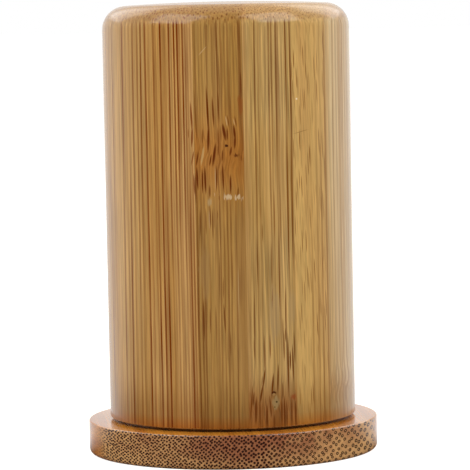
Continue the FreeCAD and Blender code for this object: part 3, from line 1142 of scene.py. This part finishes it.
@dataclass
class Cover:
    """The cover: a turned block of twelve laths, bored from below to slip over the cup.

    Sizes are in mm. The glue seams lie at shares of the radius: the one between the boards
    along Y, and those within the front and the back board along X.
    """

    radius: float = 23.4
    top: float = 85.4
    top_crown: float = 0.8
    top_round: float = 4.2
    seat: float = 6.4
    seat_radius: float = 21.4
    relief_top: float = 6.9
    lip_round: float = 0.3
    bore: float = 19.4
    bore_end: float = 76.4
    bore_round: float = 1.5
    mouth_chamfer: float = 0.8
    board_share: float = 0.064
    front_shares: tuple[float, ...] = (-0.645, -0.261, 0.124, 0.508, 0.778)
    back_shares: tuple[float, ...] = (-0.752, -0.402, -0.026, 0.342, 0.701)
    flank_reach: float = 10.0
    glue_margin: float = 0.2

    def build(self) -> None:
        """Turns the cover and saws it into its laths."""
        whole = self._turned().mesh()
        seam = self.board_share * self.radius
        boards = (
            ("front", self.front_shares, Vector((0, 1, 0)), seam),
            ("back", self.back_shares, Vector((0, -1, 0)), -seam),
        )
        for board, shares, away, place in boards:
            edges = [None, *(share * self.radius for share in shares), None]
            for number, (left, right) in enumerate(zip(edges, edges[1:]), start=1):
                shape = whole.copy()
                if left is not None:
                    saw(shape, Vector((-1, 0, 0)), -left)
                if right is not None:
                    saw(shape, Vector((1, 0, 0)), right)
                saw(shape, away, place)
                seams = tuple(edge for edge in (left, right) if edge is not None)
                grain = self._grain(board, number, seams, seam)
                name = f"{board}_lath_{number}"
                finish = VarnishedBamboo(f"bamboo_{name}_varnished", grain)
                place_piece(shape, name, finish, "cover", f"cover_{name}")
        whole.free()

    def _turned(self) -> TurnedShape:
        """Lays out the whole cover's outline, its top as an arc and its bore open below.

        Returns:
            The cover's shape.
        """
        bend = (self.radius**2 + self.top_crown**2) / (2 * self.top_crown)
        crown = (
            Corner(reach, self.top - bend + math.sqrt(bend**2 - reach**2))
            for reach in (self.radius * step / 12 for step in range(9))
        )
        return TurnedShape(
            (
                *crown,
                Corner(self.radius, self.top - self.top_crown, self.top_round),
                Corner(self.radius, self.relief_top, self.lip_round),
                Corner(self.seat_radius, self.relief_top),
                Corner(self.seat_radius, self.seat),
                Corner(self.bore + self.mouth_chamfer, self.seat),
                Corner(self.bore, self.seat + self.mouth_chamfer),
                Corner(self.bore, self.bore_end, self.bore_round),
                Corner(0, self.bore_end),
            )
        )

    def _grain(
        self, board: str, number: int, seams: tuple[float, ...], depth_seam: float
    ) -> BambooGrain:
        """Gives a lath its own piece of bamboo, the outermost laths with lines on the flank.

        Args:
            board: The board that the lath is in.
            number: The lath's number from -X.
            seams: The lath's own glue seams along X, in mm.
            depth_seam: The glue seam between the boards, in mm.

        Returns:
            The lath's grain.
        """
        outer = len(seams) == 1
        if board == "front":
            grain, seed = FRONT_LATHS[number - 1], 60 + number
            flank = (-self.flank_reach, depth_seam - self.glue_margin)
        else:
            grain = BACK_LATHS[number - 1]
            seed = round(10 * grain.seed)
            far = math.copysign(self.seat_radius, seams[0])
            left, right = sorted((seams[0], far)) if outer else seams
            grain = replace(grain, lines=spread_lines(left, right, seed))
            flank = (depth_seam + self.glue_margin, self.flank_reach)
            seed += 1
        flank_lines = spread_lines(*flank, seed) if outer else ()
        return replace(grain, flank_lines=flank_lines, seams=seams, depth_seam=depth_seam)


@dataclass(frozen=True)
class Softbox:
    """A square soft light that looks at the middle of the object.

    Angles are in degrees, the distance and the size in metres and the power in watts.
    """

    name: str
    azimuth: float
    elevation: float
    distance: float
    size: float
    power: float
    mirrored: bool = True

    def place(self, target: Vector) -> None:
        """Puts the light in the studio.

        Args:
            target: The point that it looks at, in metres.
        """
        light = bpy.data.lights.new(self.name, "AREA")
        light.size = self.size
        light.energy = self.power
        lamp = bpy.data.objects.new(self.name, light)
        turn, rise = math.radians(self.azimuth), math.radians(self.elevation)
        level = math.cos(rise)
        away = Vector((math.sin(turn) * level, -math.cos(turn) * level, math.sin(rise)))
        lamp.location = target + away * self.distance
        lamp.rotation_euler = away.to_track_quat("Z", "Y").to_euler()
        lamp.visible_glossy = self.mirrored
        bpy.context.scene.collection.objects.link(lamp)


@dataclass
class Studio:
    """A pale floor, a white surround and soft lights. Sizes are in metres."""

    floor_size: float = 60.0
    surround: float = 0.38
    target_height: float = 0.04
    softboxes: tuple[Softbox, ...] = (
        Softbox("softbox_left", -57, 45, 1.0, 0.7, 4.2),
        Softbox("softbox_right", 55, 45, 1.0, 0.7, 4.6),
        Softbox("softbox_back_left", -140, 35, 1.3, 0.8, 3.0),
        Softbox("softbox_back_right", 140, 35, 1.3, 0.8, 3.0),
        Softbox("softbox_above", 180, 78, 1.0, 0.8, 2.7, mirrored=False),
    )

    # What is mirrored is bright behind the object and dim in front of it.
    BACKDROP = {"From Min": -0.1, "From Max": 0.5, "To Min": 0.08}

    def build(self) -> None:
        """Lays the floor, hangs the lights and sets the view to plain."""
        self._lay_floor()
        self._surround()
        for softbox in self.softboxes:
            softbox.place(Vector((0, 0, self.target_height)))
        bpy.context.scene.view_settings.view_transform = "Standard"

    def _show(self, tree: Tree, lit: Node, white: Node, mirrored: Node) -> Node:
        """Tells rays that see the surround itself from those that only light the object.

        Args:
            tree: The node tree that takes the nodes.
            lit: What lights the object.
            white: What camera and transmission rays see.
            mirrored: What glossy rays see.

        Returns:
            The three in one shader.
        """
        path = add_node(tree, "LightPath").outputs
        direct = path["Is Camera Ray"], path["Is Transmission Ray"]
        clear = add_node(tree, "Math", *direct, operation="MAXIMUM")
        seen = add_node(tree, "MixShader", clear, lit, white)
        return add_node(tree, "MixShader", path["Is Glossy Ray"], seen, mirrored)

    def _lay_floor(self) -> None:
        """Lays a matt white floor that keeps the object's soft shadow."""
        grid = bmesh.new()
        bmesh.ops.create_grid(grid, x_segments=4, y_segments=4, size=self.floor_size / 2)
        mesh = bpy.data.meshes.new("floor")
        grid.to_mesh(mesh)
        grid.free()
        floor = bpy.data.objects.new("floor", mesh)
        bpy.context.scene.collection.objects.link(floor)
        material = bpy.data.materials.new("matt_white_paper")
        material.use_nodes = True
        tree = material.node_tree
        tree.nodes.clear()
        white = linear(WHITE)
        paper = add_node(tree, "BsdfDiffuse", {"Color": linear("#d6c8b8"), "Roughness": 0.5})
        glow = add_node(tree, "Emission", {"Color": white, "Strength": 0.84})
        bright = add_node(tree, "AddShader", paper, glow)
        # In a reflection the paper is as bright as what hangs over it: dim in front.
        place = add_node(tree, "TexCoord").outputs["Object"]
        bearing = add_node(tree, "VectorMath", place, operation="NORMALIZE")
        back = add_node(tree, "SeparateXYZ", bearing).outputs["Y"]
        behind = add_node(tree, "MapRange", {"Value": back} | self.BACKDROP)
        mirrored = add_node(tree, "Emission", {"Color": white, "Strength": behind})
        seen = self._show(tree, paper, bright, mirrored)
        add_node(tree, "OutputMaterial", {"Surface": seen})
        mesh.materials.append(material)

    def _surround(self) -> None:
        """Surrounds the object with even light that itself shows white."""
        world = bpy.data.worlds.new("studio")
        world.use_nodes = True
        bpy.context.scene.world = world
        tree = world.node_tree
        tree.nodes.clear()
        white = linear(WHITE)
        ambient = add_node(tree, "Background", {"Color": white, "Strength": self.surround})
        # Behind and above hangs the white backdrop, and in front the room is dim.
        direction = add_node(tree, "TexCoord").outputs["Generated"]
        back = add_node(tree, "VectorMath", direction, (0, 1.0, 0.42), operation="DOT_PRODUCT")
        behind = add_node(tree, "MapRange", {"Value": back} | self.BACKDROP)
        bright = add_node(tree, "Background", {"Color": white, "Strength": 1.0})
        mirrored = add_node(tree, "Background", {"Color": white, "Strength": behind})
        seen = self._show(tree, ambient, bright, mirrored)
        add_node(tree, "OutputWorld", {"Surface": seen})


@dataclass
class PhotoCamera:
    """A camera where the picture was taken from. Lengths are in mm, angles in radians."""

    distance: float = 548.0
    height: float = 81.1
    pitch: float = 0.0731
    yaw: float = 0.0019
    roll: float = -0.0192
    focal: float = 220.8
    sensor: float = 36.0
    clip_start: float = 10.0

    def build(self) -> None:
        """Sets the camera up and makes it the scene's own."""
        level = math.cos(self.pitch)
        forward = Vector(
            (math.sin(self.yaw) * level, math.cos(self.yaw) * level, -math.sin(self.pitch))
        )
        right = Vector((math.cos(self.yaw), -math.sin(self.yaw), 0))
        up = right.cross(forward)
        rolled_right = math.cos(self.roll) * right + math.sin(self.roll) * up
        rolled_up = -math.sin(self.roll) * right + math.cos(self.roll) * up
        matrix = Matrix((rolled_right, rolled_up, -forward)).transposed().to_4x4()
        matrix.translation = Vector((0, -self.distance, self.height)) * MM
        lens = bpy.data.cameras.new("camera")
        lens.lens = self.focal
        lens.sensor_width = self.sensor
        lens.clip_start = self.clip_start * MM
        camera = bpy.data.objects.new("camera", lens)
        camera.matrix_world = matrix
        bpy.context.scene.collection.objects.link(camera)
        bpy.context.scene.camera = camera


def main() -> None:
    """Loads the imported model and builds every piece."""
    logging.basicConfig(level=logging.INFO, format="%(name)s: %(message)s")
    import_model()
    FootDisc().build()
    Cover().build()
    Studio().build()
    PhotoCamera().build()


if __name__ == "__main__":
    main()
